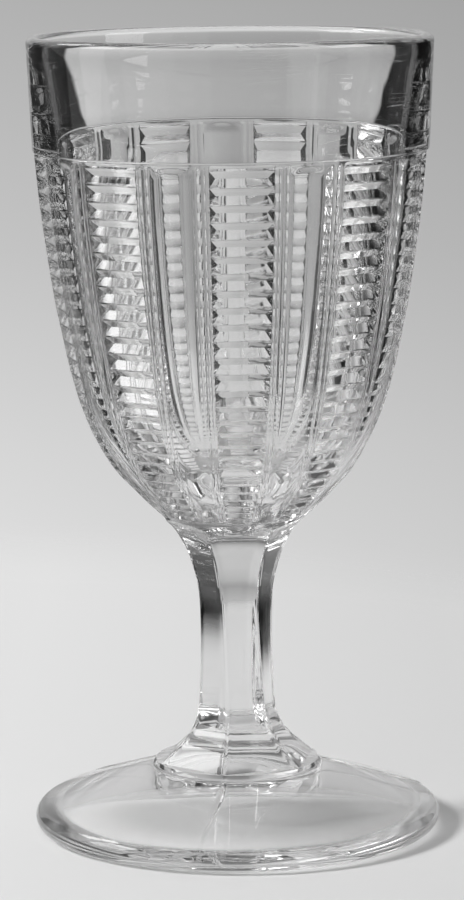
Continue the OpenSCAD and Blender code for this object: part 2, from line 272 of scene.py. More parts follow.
in_front = add(pt, "ShaderNodeMapRange", {
    0: spot["Y"], 1: FRONT_FROM * MM, 2: FRONT_TO * MM, 3: 1.0, 4: 0.0})
not_far = add(pt, "ShaderNodeMapRange", {
    0: reach, 1: FAR_FROM * MM, 2: FAR_TO * MM, 3: 1.0, 4: 0.0}, interpolation_type="SMOOTHSTEP")
whole_there = add(pt, "ShaderNodeMath", {0: in_front, 1: not_far}, operation="MULTIPLY")
kept = add(pt, "ShaderNodeMath", {0: whole_there, 1: direct}, operation="MULTIPLY")
gone = add(pt, "ShaderNodeMath", {0: ended, 1: kept}, operation="SUBTRACT", use_clamp=True)
print("seen directly, it ends by", FAR_TO, "mm")

# %% Its colour, with painted light and shade
# Painted light and shade: the paper is painted lighter on the left and darker on the right, as if
# lit from the left, and darker in the middle of the goblet's place as painted shade under it.
PAPER_LIT_LEFT, PAPER_DIM_RIGHT, PAPER_X = "#E0E0E0", "#D2D2D2", 50.0
UNDER_SHARE, UNDER_FROM, UNDER_TO = 0.72, 18.0, 34.0    # shade in the middle of the goblet's place

painted_side_light = add(pt, "ShaderNodeMapRange", {0: spot["X"], 1: -PAPER_X * MM, 2: PAPER_X * MM})
paper_painted_lit_left = add(pt, "ShaderNodeMix", {
    0: painted_side_light, 6: linear(PAPER_LIT_LEFT), 7: linear(PAPER_DIM_RIGHT)}, data_type="RGBA")
off_axis = add(pt, "ShaderNodeVectorMath", {0: place}, operation="LENGTH")
under = add(pt, "ShaderNodeMapRange", {
    0: off_axis, 1: UNDER_FROM * MM, 2: UNDER_TO * MM, 3: UNDER_SHARE},
    interpolation_type="SMOOTHSTEP")
shaded = add(pt, "ShaderNodeVectorMath", {0: paper_painted_lit_left, 1: under}, operation="MULTIPLY")
matt = add(pt, "ShaderNodeBsdfDiffuse", {"Color": shaded})
clear = add(pt, "ShaderNodeBsdfTransparent")
paper_shader = add(pt, "ShaderNodeMixShader", {0: gone, 1: matt, 2: clear})
add(pt, "ShaderNodeOutputMaterial", {"Surface": paper_shader})
print("paper nodes", len(pt.nodes))

# %% [markdown]
# ## The lamps
# Daylight from the left lights the paper and throws the goblet's soft shadow to the right. A sun
# with a wide angle gives such a shadow, and stays out of the glass. Two windows and a pale wall
# are soft boxes. They draw the glints in the glass and leave the paper alone, so each can be
# moved for its glint without a change to the shadow.

# %% Lamps
LAMP_AIM = (0, 0, 70)                           # the bottom of the cup
SUN_TOWARDS, SUN_ANGLE, SUN_POWER = (0.76, 0.10, -0.64), 14.0, 3.0


def soft_box(name, place, side, power):
    """A square lamp, its side in millimetres and its power in watts, seen only in glass."""
    data = bpy.data.lights.new(name, "AREA")
    data.shape, data.size, data.size_y, data.energy = "RECTANGLE", side * MM, side * MM, power
    lamp = bpy.data.objects.new(name, data)
    lamp.location = Vector(place) * MM
    aim = Vector(LAMP_AIM) * MM - lamp.location
    lamp.rotation_euler = aim.to_track_quat("-Z", "Y").to_euler()
    lamp.visible_diffuse = False
    bpy.context.collection.objects.link(lamp)
    return lamp


lamps = [soft_box("window", (-780, -120, 520), 420, 2.4),
         soft_box("second window", (-560, 300, 640), 260, 1.3),
         soft_box("wall on the right", (720, -250, 420), 420, 1.6)]
sun = bpy.data.lights.new("daylight", "SUN")
sun.energy, sun.angle = SUN_POWER, math.radians(SUN_ANGLE)
daylight = bpy.data.objects.new("daylight", sun)
daylight.rotation_euler = Vector(SUN_TOWARDS).to_track_quat("-Z", "Y").to_euler()
daylight.visible_glossy = daylight.visible_transmission = False
bpy.context.collection.objects.link(daylight)
print("lamps", [lamp.name for lamp in lamps + [daylight]])

# %% [markdown]
# ## The shape of the wall
# Everything round on the goblet follows one curve of radius against height. It could be drawn
# as a curve object and spun, but the pattern has to know the wall's radius and slope at every
# height, so the curve is a short table of shares with a smooth line through it. They are the
# same few shares that shaped the solids, so the visible glass lies where the solids are.

# %% Sizes and curves
GOBLET_H, RIM_R, FOOT_R = 155.5, 39.2, 39.9
NECK_Z, COLLAR_Z = 57.6, 13.4
RIM_WALL, BAND_TAPER, BAND_H, BAND_EDGE, BAND_STEP = 2.6, 0.9, 22.2, 0.5, 0.4
FLOOR_T, UNDERSIDE_H, PATTERN_EDGE, SCALLOP_H = 12.4, 4.6, 0.3, 1.7
BAND_Z = GOBLET_H - BAND_H
PATTERN_Z = NECK_Z + UNDERSIDE_H
FIELD_R = RIM_R - BAND_TAPER - BAND_STEP
LEAN_OVER = 0.2                         # the slope is measured this far up and down

field_shares = np.array([
    (0.000, 0.378), (0.035, 0.447), (0.075, 0.520), (0.118, 0.597), (0.156, 0.648),
    (0.205, 0.700), (0.260, 0.748), (0.337, 0.799), (0.421, 0.840), (0.511, 0.875),
    (0.585, 0.903), (0.729, 0.944), (0.864, 0.977), (1.000, 1.000)])
hollow_shares = np.array([
    (0.000, 0.000), (0.004, 0.110), (0.016, 0.230), (0.040, 0.365), (0.075, 0.490),
    (0.125, 0.600), (0.198, 0.693), (0.292, 0.762), (0.409, 0.819), (0.585, 0.880),
    (0.740, 0.922), (0.985, 0.998)])


def smooth(table, x):
    """A smooth curve through a table's points, with each slope taken from the neighbours."""
    t = np.asarray(table)
    lo, hi = np.r_[0, np.arange(len(t) - 1)], np.r_[np.arange(1, len(t)), len(t) - 1]
    slope = (t[hi, 1] - t[lo, 1]) / (t[hi, 0] - t[lo, 0])
    i = np.clip(np.searchsorted(t[:, 0], x) - 1, 0, len(t) - 2)
    h = t[i + 1, 0] - t[i, 0]
    u = (x - t[i, 0]) / h
    return (t[i, 1] * (1 + 2 * u) * (1 - u) ** 2 + slope[i] * h * u * (1 - u) ** 2
            + t[i + 1, 1] * u * u * (3 - 2 * u) + slope[i + 1] * h * u * u * (u - 1))


def field(z):
    """Radius of the patterned wall, on the crests of its notches."""
    return FIELD_R * smooth(field_shares, (z - PATTERN_Z) / (BAND_Z - PATTERN_Z))


def field_lean(z):
    """Slope of the wall: how far it widens for each millimetre of height."""
    return (field(z + LEAN_OVER) - field(z - LEAN_OVER)) / (2 * LEAN_OVER)


print("wall radius at the band", round(float(field(BAND_Z)), 2), "and at the pattern's foot",
      round(float(field(PATTERN_Z)), 2))

# %% [markdown]
# ## One ninth of the bowl
# The mould was cut one panel at a time, so the bowl is modelled that way too: a single sector
# of forty degrees, from the middle of one flute to the middle of the next. Its points lie in
# rows and columns. Rows follow the crests and valleys of the notches; columns follow the panel's
# edges, the sloping ends of the notches, the fine ribs of the border and the hollow of the
# flute, so every crisp line of the pressing falls on an edge of the mesh. Notches cut out of a
# round wall with booleans would leave slivers there, which clear glass shows as false glints.

# %% Notches of a panel
FULL_NOTCHES, NOTCH_H, LOW_NOTCHES, CROWDING = 14, 3.2, 13, 0.43
PANEL_GAP, LOW_GAP = 1.1, 0.5                              # plain wall above and below them
NOTCH_DEPTH, CREST_ROUND = 0.36, 0.22                      # depth as a share of a notch's height
GROOVE_DEPTH, GROOVE_DOWN, GROOVE_HALF = 0.3, 0.75, 0.4    # the line cut along a panel's top

panel_top = BAND_Z - PANEL_GAP
groove_z = BAND_Z - GROOVE_DOWN
full_end = panel_top - FULL_NOTCHES * NOTCH_H
low_end = PATTERN_Z + LOW_GAP
u = np.arange(1, LOW_NOTCHES + 1) / LOW_NOTCHES
crests = np.r_[panel_top - NOTCH_H * np.arange(FULL_NOTCHES + 1),
               full_end - (full_end - low_end) * (u + CROWDING * u * (1 - u))]
print("notches", len(crests) - 1, "from", round(crests[0], 1), "down to", round(crests[-1], 1))


def notch(z):
    """Depth below the crests at a height, and how far along the notch's sloping end that is."""
    i = int(np.clip(np.searchsorted(-crests, -z) - 1, 0, len(crests) - 2))
    top, low = crests[i], crests[i + 1]
    if z >= crests[0] or z <= crests[-1]:
        return GROOVE_DEPTH * max(0.0, 1 - abs(z - groove_z) / GROOVE_HALF), 0.0, NOTCH_H
    pitch = top - low
    t = 1 - abs(z - (top + low) / 2) / (pitch / 2)          # 0 at a crest, 1 in the valley
    edge = 2 * CREST_ROUND / pitch
    shape = t - edge / 2 if t > edge else t * t / (2 * edge)
    return NOTCH_DEPTH * pitch * shape / (1 - edge / 2), t, pitch


# %% Rows of points
CREST_ROWS = (1, 0.35, -0.35, -1)                # round each crest, in shares of its rounding
GROOVE_ROWS = (0.4, 0.2, 0.0, -0.2, -0.35)       # above and below the groove's middle
ARCH_ROWS, ARCH_STEP = (-3.4, 0.4), 0.4          # from the panel's top, for the flutes' arches
LOW_ROWS, LOW_STEP = (0.0, 5.0), 0.6             # from the panel's foot, for the same
LOWEST_ROW, HIGHEST_ROW, ROW_APART = -0.05, -0.35, 0.07

rows = []
for i, z in enumerate(crests):
    rows += [z + CREST_ROUND * s for s in CREST_ROWS]
    if i + 1 < len(crests):
        rows.append((z + crests[i + 1]) / 2)
rows += [groove_z + s for s in GROOVE_ROWS]
rows += list(np.arange(crests[0] + ARCH_ROWS[0], crests[0] + ARCH_ROWS[1], ARCH_STEP))
rows += list(np.arange(low_end + LOW_ROWS[0], low_end + LOW_ROWS[1], LOW_STEP))
rows = np.array(sorted((z for z in rows if low_end + LOWEST_ROW <= z <= BAND_Z + HIGHEST_ROW),
                       reverse=True))
rows = rows[np.r_[True, np.abs(np.diff(rows)) > ROW_APART]]
print("rows of points down the pattern", len(rows))

# %% Columns across the sector
PANELS, PANEL_HALF, BORDER = 9, 9.25, 4.5        # half a panel and a border, in degrees
BORDER_RIBS = [                                  # share of the way from the flute, height in mm
    (0.00, 0.00), (0.10, 0.08), (0.30, 0.08), (0.46, -0.07), (0.60, 0.06), (0.70, 0.06),
    (0.78, -0.01), (0.88, 0.05)]
FLUTE_PLACES = [0.0, 0.25, 0.5, 0.75, 0.93]      # shares of the way from its middle to its edge

half_turn = 180 / PANELS
left = [("flute", p) for p in FLUTE_PLACES]
left += [("border", k) for k in range(len(BORDER_RIBS))]
columns = left + [("panel", p) for p in range(-3, 4)] + [(k, p) for k, p in reversed(left)]
even = np.linspace(-half_turn, half_turn, len(columns))
print("columns in one sector", len(columns), "and round the bowl", PANELS * (len(columns) - 1))

# %% One row of the pattern
NOTCH_END, LONGEST_END, SHORTEST_END = 0.33, 0.6, 0.06     # the sloping ends, along the panel
RIBS_LOW, RIBS_TOP, RIBS_TOP_GAP = 0.8, 0.4, 0.5           # where the ribs rise from the wall
FLUTE_DEPTH, FLUTE_UP, FLUTE_LOW_GAP, ARCH_H, FLUTE_LIP = 0.45, 0.45, 1.2, 2.1, 0.05

flute_half = half_turn - PANEL_HALF - BORDER
arch_top = panel_top + FLUTE_UP - ARCH_H
arch_low = low_end + FLUTE_LOW_GAP + ARCH_H


def pattern_row(z):
    """Points of one row of the pattern, as angle, distance out and height."""
    r, lean = float(field(z)), float(field_lean(z))
    tilt = math.hypot(1, lean)
    depth, t, pitch = notch(z)
    half = math.radians(PANEL_HALF)
    end = min(NOTCH_END * pitch / (r * math.sin(half)), LONGEST_END)
    corner = 1 - end * max(t, SHORTEST_END)
    ribs = min(1.0, max(0.0, (z - low_end) / RIBS_LOW),
               max(0.0, (BAND_Z - RIBS_TOP_GAP - z) / RIBS_TOP))
    share_at = {3: 1.0, 2: corner, 1: corner / 2, 0: 0.0}     # 3 a panel's edge, 2 a notch's end
    points = []
    for n, (kind, p) in enumerate(columns):
        side = -1 if n < len(columns) // 2 else 1
        if kind == "panel":
            share = share_at[abs(p)] * (1 if p > 0 else -1)
            x, y = share * r * math.sin(half), r * math.cos(half)
            a, out = math.atan2(x, y), math.hypot(x, y)
            move = -depth if abs(p) < 3 else 0.0
        elif kind == "border":
            share, high = BORDER_RIBS[p]
            a = side * math.radians(PANEL_HALF + BORDER * (1 - share))
            out, move = r, high * ribs
        else:
            a = side * math.radians(half_turn - flute_half * p)
            up, down = max(0.0, z - arch_top) / ARCH_H, max(0.0, arch_low - z) / ARCH_H
            out = r
            move = -FLUTE_DEPTH * max(0.0, 1 - p * p - up * up - down * down) - FLUTE_LIP * p * ribs
        points.append((a, out + move / tilt, z - move * lean / tilt))
    return np.array(points)


print("radius across one row", [round(float(p[1]), 2) for p in pattern_row(BAND_Z - 10)[:5]])

# %% Plain rows and a grid of faces
EVEN_FROM = 2.0                                  # the columns are read this far below the band


def round_row(r, z, evenness):
    """A plain row; evenness moves its columns from the pattern's places to equal spaces."""
    start = pattern_row(BAND_Z - EVEN_FROM)[:, 0]
    a = start + (np.radians(even) - start) * evenness
    return np.c_[a, np.full(len(a), r), np.full(len(a), z)]


def curve_round(centre, radius, start, end, count):
    """Points along an arc, as distance out and height."""
    return [(centre[0] + radius * math.cos(a), centre[1] + radius * math.sin(a))
            for a in np.radians(np.linspace(start, end, count))]


def grid_mesh(name, table, chill, pole=None):
    """A strip of faces through rows of (angle, distance out, height), closed to a point at a pole.
    Chill is how much of the mould's dull skin each point has."""
    rows_n, cols_n = len(table), len(table[0])
    pts = [(r * math.sin(a) * MM, -r * math.cos(a) * MM, z * MM)
           for row in table for a, r, z in row]
    faces = [(i * cols_n + j, (i + 1) * cols_n + j, (i + 1) * cols_n + j + 1, i * cols_n + j + 1)
             for i in range(rows_n - 1) for j in range(cols_n - 1)]
    if pole is not None:
        pts.append((0, 0, pole * MM))
        last = (rows_n - 1) * cols_n
        faces += [(last + j, len(pts) - 1, last + j + 1) for j in range(cols_n - 1)]
    mesh = bpy.data.meshes.new(name)
    mesh.from_pydata(pts, [], faces)
    mesh.attributes.new("chilled", "FLOAT", "POINT").data.foreach_set("value", chill)
    return mesh


print("points in a plain row", len(round_row(RIM_R, GOBLET_H, 1.0)))

# %% Hollow, rim and band
HOLLOW_ROWS, HOLLOW_NEAR, HOLLOW_TOP = 40, (0.0008, 0.002, 0.07), 0.985
BAND_ROWS, BAND_EVEN = 12, (1.0, 9.0)            # columns become even this far above its edge
RIM_POINTS, EDGE_TURN, EDGE_POINTS = 13, 80, 6   # arcs over the rim and round the band's edge

band_low = RIM_R - BAND_TAPER
rim_round = RIM_WALL / 2
rim_z = GOBLET_H - rim_round
floor_z = NECK_Z + FLOOR_T
hollow_s = np.r_[HOLLOW_NEAR[:2], np.linspace(HOLLOW_NEAR[2], HOLLOW_TOP ** 0.5, HOLLOW_ROWS) ** 2]
table = [round_row((RIM_R - RIM_WALL) * float(smooth(hollow_shares, s)),
                   floor_z + s * (rim_z - floor_z), 1.0) for s in hollow_s]
table += [round_row(r, z, 1.0) for r, z in curve_round(
    (RIM_R - rim_round, rim_z), rim_round, 180, 0, RIM_POINTS)]
outside_from = len(table)
band_edge_z = BAND_Z + BAND_EDGE
table += [round_row(np.interp(z, [band_edge_z, rim_z], [band_low, RIM_R]), z,
                    float(np.clip((z - BAND_Z - BAND_EVEN[0]) / BAND_EVEN[1], 0, 1)))
          for z in np.linspace(rim_z, band_edge_z, BAND_ROWS)[1:-1]]
table += [round_row(r, z, 0.0) for r, z in curve_round(
    (band_low - BAND_EDGE, band_edge_z), BAND_EDGE, 0, -EDGE_TURN, EDGE_POINTS)]
print("rows down to the band's edge", len(table))

# %% Pattern, its lower edge and the sector
CHILL_OVER, CHILL_FADE = 0.3, 0.4                # the chilled skin starts just above the pattern
FIRST_IN, FIRST_DOWN = 0.02, 0.1                 # the pattern's first row, from the band's edge
LOW_EDGE = [                                     # its last rows: in, up and evenness
    (0.0, 0.25, 0.2), (0.05, 0.1, 0.6), (PATTERN_EDGE - 0.1, 0.0, 0.9), (PATTERN_EDGE, 0.0, 1.0)]

table += [round_row(float(field(BAND_Z)) - FIRST_IN, BAND_Z - FIRST_DOWN, 0.0)]
table += [pattern_row(z) for z in rows]
pattern_low_r = float(field(PATTERN_Z))
cone_r = pattern_low_r - PATTERN_EDGE
table += [round_row(pattern_low_r - way_in, PATTERN_Z + up, evenness)
          for way_in, up, evenness in LOW_EDGE]
# None of the chill is on the polished band and inside, and all of it on the pattern
chill = [min(1.0, max(0.0, (BAND_Z + CHILL_OVER - z) / CHILL_FADE)) if n >= outside_from else 0.0
         for n, row in enumerate(table) for a, r, z in row]
bowl_mesh = grid_mesh("bowl sector", table[::-1], chill[::-1] + [0.0], pole=floor_z)
bowl_sector = bpy.data.objects.new("bowl sector", bowl_mesh)
print("bowl sector", len(bowl_mesh.vertices), "points")

# %% [markdown]
# ## One sixth of the stem and foot
# The stem is a six-sided column whose faces sweep out at both ends. At the top each face cuts a
# low arch into the round cone under the pattern, and the whole column is twisted a little, as
# happens when a hot goblet is turned out of its mould. A sector of sixty degrees runs from
# corner to corner, and the same strip carries on over the collar, the slope of the foot, its
# rounded edge and the hollow underneath. Its first row lies on the bowl's last one, point for
# point, so the two can be welded.

# %% Sizes of the stem
SIDES = 6
WAIST_R, NECK_R, WAIST_SHARE, STEM_TWIST = 7.25, 10.9, 0.55, 15.5
COLLAR_R, COLLAR_LIP, COLLAR_LEDGE = 16.7, 0.7, 0.1
CORNER_SOFT, CORNER_WIDE = 0.20, 0.65            # how far its corners are worn back, and how wide
TIGHTER = 0.15                                   # how much its columns crowd towards the corners

upper_stem_shares = np.array([
    (0.00, 0.00), (0.20, 0.00), (0.37, 0.02), (0.50, 0.08), (0.60, 0.18), (0.69, 0.31),
    (0.79, 0.47), (0.885, 0.68), (1.00, 1.00)])
lower_stem_shares = np.array([
    (0.00, 0.000), (0.20, 0.015), (0.38, 0.04), (0.53, 0.07), (0.64, 0.125), (0.73, 0.235),
    (0.79, 0.35), (0.86, 0.53), (0.93, 0.77), (1.00, 1.00)])
flare_shares = np.array([
    (0.00, 0.00), (0.20, 0.10), (0.435, 0.24), (0.63, 0.40), (0.80, 0.63), (1.00, 1.00)])

half_side = math.pi / SIDES
stem_columns = PANELS * (len(columns) - 1) // SIDES + 1
spread = np.linspace(-1, 1, stem_columns)
tight = (1 + TIGHTER) * spread - TIGHTER * spread ** 5
stem_h = NECK_Z - COLLAR_Z
waist_z = COLLAR_Z + WAIST_SHARE * stem_h
stem_base_r = COLLAR_R - COLLAR_LIP - COLLAR_LEDGE
face_r = pattern_low_r / math.cos(half_side)
print("columns in one side", stem_columns, "waist at", round(waist_z, 1))


# %% Corners, faces and rows
def corner_radius(z):
    """Radius of the stem's corners at a height, up into the cone under the pattern."""
    if z > NECK_Z:
        share, start, end = smooth(flare_shares, (z - NECK_Z) / UNDERSIDE_H), NECK_R, face_r
    elif z > waist_z:
        share = smooth(upper_stem_shares, (z - waist_z) / (NECK_Z - waist_z))
        start, end = WAIST_R, NECK_R
    else:
        share = smooth(lower_stem_shares, (waist_z - z) / (waist_z - COLLAR_Z))
        start, end = WAIST_R, stem_base_r
    return start + float(share) * (end - start)


def six_sided(a, corner_r):
    """Distance to a face of the column at an angle from the face's middle, with worn corners."""
    worn = CORNER_SOFT * np.exp(-((half_side - np.abs(a)) * corner_r / CORNER_WIDE) ** 2)
    return corner_r * math.cos(half_side) / np.cos(a) - worn


def stem_row(r, z, sides=1.0, crowd=1.0, drift=0.0):
    """A row, six-sided for sides = 1 and round for 0; crowd gathers its points at the corners."""
    a = half_side * (spread + (tight - spread) * crowd)
    out = r + (six_sided(a, r) - r) * sides
    turned = math.radians(STEM_TWIST * min(1.0, max(0.0, (NECK_Z - z) / stem_h)) + drift)
    return np.c_[a + half_side + turned, out, np.full(len(a), z)]


print("waist radius", corner_radius(waist_z), "neck radius", corner_radius(NECK_Z))

# %% Where the faces meet the cone
HALVINGS = 40                                    # of the range in which the meeting is sought

corner_z = PATTERN_Z - SCALLOP_H
cone_lean = (cone_r - corner_radius(corner_z)) / SCALLOP_H


def cone_line(z):
    """Radius of the cone under the pattern."""
    return cone_r - cone_lean * (PATTERN_Z - z)


meeting = []
for a in half_side * tight:
    low, high = NECK_Z, PATTERN_Z
    for _ in range(HALVINGS):
        mid = (low + high) / 2
        low, high = (mid, high) if six_sided(a, corner_radius(mid)) < cone_line(mid) else (low, mid)
    meeting.append(low)
meeting = np.array(meeting)
print("faces meet the cone from", round(meeting.min(), 2), "to", round(meeting.max(), 2))

# %% Rows of the stem
CONE_STEPS, NECK_STEPS = (0.25, 0.6, 1.0), (0.08, 0.2, 0.35, 0.5, 0.65, 0.8, 1.0)
UPPER_STEPS = np.linspace(0.96, 0.0, 20)
LOWER_STEPS = np.r_[np.linspace(0.05, 0.5, 9), np.linspace(0.52, 0.985, 24)]

stem_table = [stem_row(cone_r, PATTERN_Z, 0, 0)]
for s in CONE_STEPS:
    row = stem_row(cone_r, PATTERN_Z, 0, s)
    row[:, 2] = PATTERN_Z + (meeting - PATTERN_Z) * s
    row[:, 1] = [cone_line(z) for z in row[:, 2]]
    stem_table.append(row)
for s in NECK_STEPS:
    row = stem_row(NECK_R, NECK_Z)
    row[:, 2] = meeting + (NECK_Z - meeting) * s
    row[:, 1] = [six_sided(a, corner_radius(z)) for a, z in zip(half_side * tight, row[:, 2])]
    stem_table.append(row)
heights = [waist_z + s * (NECK_Z - waist_z) for s in UPPER_STEPS]
heights += [waist_z - s * (waist_z - COLLAR_Z) for s in LOWER_STEPS]
stem_table += [stem_row(corner_radius(z), z) for z in heights]
stem_table.append(stem_row(stem_base_r, COLLAR_Z))
print("rows down the stem", len(stem_table))

# %% Rows of the foot
EDGE_H, RING_W, HOLLOW, HOLLOW_FORM = 5.0, 3.2, 8.5, 1.5
SEAM_DRIFT, SEAM_WANDER, SEAM_WAVES = (1.5, -1.4), 0.6, 7.0
LIP_SHARE = 1.2                                  # height of the collar's round lip, by its width
LIP_ROWS = [(-0.2, 0.3), (-0.03, 0.0), (0.0, -0.25)]     # out and up from the lip's outer end
SLOPE_ROWS = [(0.05, 0.15), (0.35, -0.08)]               # and from the start of the slope
SLOPE_STEPS = (0.06, 0.14, 0.22, 0.30, 0.38, 0.46, 0.54, 0.62, 0.70, 0.78, 0.85, 0.92, 0.97)
FOOT_POINTS, RING_STEPS, HOLLOW_STEPS = 16, (0.7, 0.3, 0.0), np.linspace(0.97, 0.06, 16)


def seam_drift(r):
    """Degrees by which a mould seam wanders off the stem's corner on its way out over the foot."""
    out = max(0.0, (r - COLLAR_R) / (FOOT_R - COLLAR_R))
    straight = SEAM_DRIFT[0] + (SEAM_DRIFT[1] - SEAM_DRIFT[0]) * out
    return straight + SEAM_WANDER * math.sin(SEAM_WAVES * out) * (r > COLLAR_R)


lip_z = COLLAR_Z - LIP_SHARE * COLLAR_LIP
edge_r = EDGE_H / 2
slope_z = lip_z - COLLAR_LIP
slope = math.degrees(math.atan2(slope_z - EDGE_H, FOOT_R - edge_r - COLLAR_R))
foot_rows = [(COLLAR_R - COLLAR_LIP, COLLAR_Z)]
foot_rows += [(COLLAR_R + out, lip_z + up) for out, up in LIP_ROWS]
foot_rows += [(COLLAR_R + out, slope_z + up) for out, up in SLOPE_ROWS]
arc = curve_round((FOOT_R - edge_r, edge_r), edge_r, 90 - slope, -90, FOOT_POINTS)
foot_rows += [(COLLAR_R + (arc[0][0] - COLLAR_R) * s, slope_z + (arc[0][1] - slope_z) * s)
              for s in SLOPE_STEPS]
ring_in = FOOT_R - edge_r - RING_W
foot_rows += arc + [(ring_in + RING_W * s, 0.0) for s in RING_STEPS]
foot_rows += [(ring_in * s, HOLLOW * (1 - s ** HOLLOW_FORM)) for s in HOLLOW_STEPS]
stem_table += [stem_row(r, z, 0, 1.0, seam_drift(r)) for r, z in foot_rows]
print("rows over the foot and under it", len(foot_rows))

# %% The sector of stem and foot
CHILL_STEM = 0.25                                # they were polished more than the pattern

chill = [CHILL_STEM] * (len(stem_table) * stem_columns + 1)
stem_mesh = grid_mesh("stem sector", stem_table, chill, pole=HOLLOW)
stem_sector = bpy.data.objects.new("stem sector", stem_mesh)
print("stem sector", len(stem_mesh.vertices), "points")

# %% [markdown]
# ## The glass
# Soda-lime glass is clear, colourless and bright. A glass shader with a roughness of nought would
# look like a lens: pressed glass has a skin that cooled against iron before a fire polish softened
# it again, so it is slightly wavy, a little blurred on the pattern, dulled where it stands on
# tables and scratched where hands and cloths go. All of this is roughness and bump, worked out
# from real sizes.

# %% Clear, wavy glass
IOR = 1.52                                       # usual for soda-lime glass
GLASS_WHITE = "#FAFAFA"                          # a trace of light is lost in the thick places
WAVES, WAVE_HIGH, WAVE_SHOWS = 110.0, 0.03, 0.35     # 110 in a metre: 9 mm long, about 0.01 mm high

glass = bpy.data.materials.new("pressed soda-lime glass")
glass.use_nodes = True
gt = glass.node_tree
gt.nodes.clear()
where = add(gt, "ShaderNodeTexCoord").outputs["Object"]
above = add(gt, "ShaderNodeSeparateXYZ", {0: where}).outputs["Z"]
waves = add(gt, "ShaderNodeTexNoise", {"Vector": where, "Scale": WAVES, "Detail": 1.0})
bump = add(gt, "ShaderNodeBump", {
    "Strength": WAVE_SHOWS, "Distance": WAVE_HIGH * MM, "Height": waves.outputs[0]})
skin = add(gt, "ShaderNodeBsdfPrincipled", {
    "Base Color": linear(GLASS_WHITE), "IOR": IOR, "Transmission Weight": 1.0, "Normal": bump})
print("material", glass.name)

# %% Chilled pattern and worn foot
CHILL = 0.06                                     # roughness of the pattern's skin
WORN, WORN_FROM, WORN_TO = 0.12, 0.2, 0.9        # roughness of the foot's lowest millimetre

worn = add(gt, "ShaderNodeMapRange", {
    0: above, 1: WORN_FROM * MM, 2: WORN_TO * MM, 3: WORN, 4: 0.0})
chilled = add(gt, "ShaderNodeAttribute", attribute_name="chilled").outputs["Fac"]
dull = add(gt, "ShaderNodeMath", {0: chilled, 1: CHILL, 2: worn}, operation="MULTIPLY_ADD")
print("roughness up to", CHILL, "on the pattern and", WORN, "under the foot")

# %% Scratches on the band
# From washing and stacking: thin contour lines of a stretched noise, in patches about 15 mm wide.
# Real ones are 0.02 mm wide; these are 0.1 mm, to show at all
STRETCH, LINE_HALF, SCRATCHED = (18.0, 18.0, 420.0), 0.008, 0.30
PATCHES, PATCH_FROM, PATCH_TO = 65.0, 0.55, 0.66

drawn = add(gt, "ShaderNodeVectorMath", {0: where, 1: STRETCH}, operation="MULTIPLY")
contours = add(gt, "ShaderNodeTexNoise", {"Vector": drawn, "Scale": 1.0, "Detail": 2.0})
off_line = add(gt, "ShaderNodeMath", {0: contours.outputs[0], 1: 0.5}, operation="SUBTRACT")
near_line = add(gt, "ShaderNodeMath", {0: off_line}, operation="ABSOLUTE")
line = add(gt, "ShaderNodeMapRange", {0: near_line, 1: 0.0, 2: LINE_HALF, 3: 1.0, 4: 0.0})
patches = add(gt, "ShaderNodeTexNoise", {"Vector": where, "Scale": PATCHES, "Detail": 1.0})
patch = add(gt, "ShaderNodeMapRange", {0: patches.outputs[0], 1: PATCH_FROM, 2: PATCH_TO})
on_band = add(gt, "ShaderNodeMapRange", {0: above, 1: BAND_Z * MM, 2: (BAND_Z + 1) * MM})
in_patch = add(gt, "ShaderNodeMath", {0: patch, 1: on_band}, operation="MULTIPLY")
scratch = add(gt, "ShaderNodeMath", {0: line, 1: in_patch}, operation="MULTIPLY")
rough = add(gt, "ShaderNodeMath", {0: scratch, 1: SCRATCHED, 2: dull}, operation="MULTIPLY_ADD")
gt.links.new(rough.outputs[0], skin.inputs["Roughness"])
print("scratches add", SCRATCHED)

# %% [markdown]
# ## The shadow of clear glass
# Real light is bent by the goblet and gathers in bright and dark places on the table, which a
# renderer can follow only at great cost. Here lamps simply shine through, as through a tinted
# pane: most of the light passes where it meets the wall squarely, little where it grazes it or
# meets an upright wall, and hardly any at the foot's thick round edge. That gives a pale shadow
# with a dark outline.

# %% Light that passes through
SQUARELY, GRAZED, GRAZE_FROM, GRAZE_TO = 0.97, 0.2, 0.3, 1.0
EDGE_PASS, WALL_PASS, EDGE_UP_TO, WALL_FROM = 0.2, 0.75, 6.0, 20.0    # by height in millimetres
UPRIGHT, FLAT = 0.6, 0.92                        # how far a face's normal points up or down

grazing = add(gt, "ShaderNodeLayerWeight", {"Blend": 0.5}).outputs["Facing"]
passed = add(gt, "ShaderNodeMapRange", {
    0: grazing, 1: GRAZE_FROM, 2: GRAZE_TO, 3: SQUARELY, 4: GRAZED})
normal = add(gt, "ShaderNodeNewGeometry").outputs["Normal"]
flatness = add(gt, "ShaderNodeMath", {
    0: add(gt, "ShaderNodeSeparateXYZ", {0: normal}).outputs["Z"]}, operation="ABSOLUTE")
standing = add(gt, "ShaderNodeMapRange", {
    0: above, 1: EDGE_UP_TO * MM, 2: WALL_FROM * MM, 3: EDGE_PASS, 4: WALL_PASS})
by_face = add(gt, "ShaderNodeMapRange", {0: flatness, 1: UPRIGHT, 2: FLAT, 3: standing, 4: 1.0})
let_by = add(gt, "ShaderNodeMath", {0: passed, 1: by_face}, operation="MULTIPLY")
pane = add(gt, "ShaderNodeBsdfTransparent", {"Color": let_by})
for_lamps = add(gt, "ShaderNodeLightPath").outputs["Is Shadow Ray"]
whole = add(gt, "ShaderNodeMixShader", {0: for_lamps, 1: skin, 2: pane})
add(gt, "ShaderNodeOutputMaterial", {"Surface": whole})
print("glass nodes", len(gt.nodes))

# %% [markdown]
# ## Turning the sectors into a goblet
# A small Geometry Nodes tree does what the mould does: it repeats the bowl's sector nine times
# and the stem's six times round the axis, welds the seams and gives the glass its material. Two
# Array modifiers could do it too, each with an empty to turn round, but here the counts and the
# turns are plain inputs of one tree. The two turns differ by a whole number of columns, or the
# points of bowl and stem would miss each other. The tree realizes its instances, because an
# exported model can't hold them. Bowl, stem and foot become one closed mesh, because two glass
# solids that touch would show their shared inner faces as false lines.

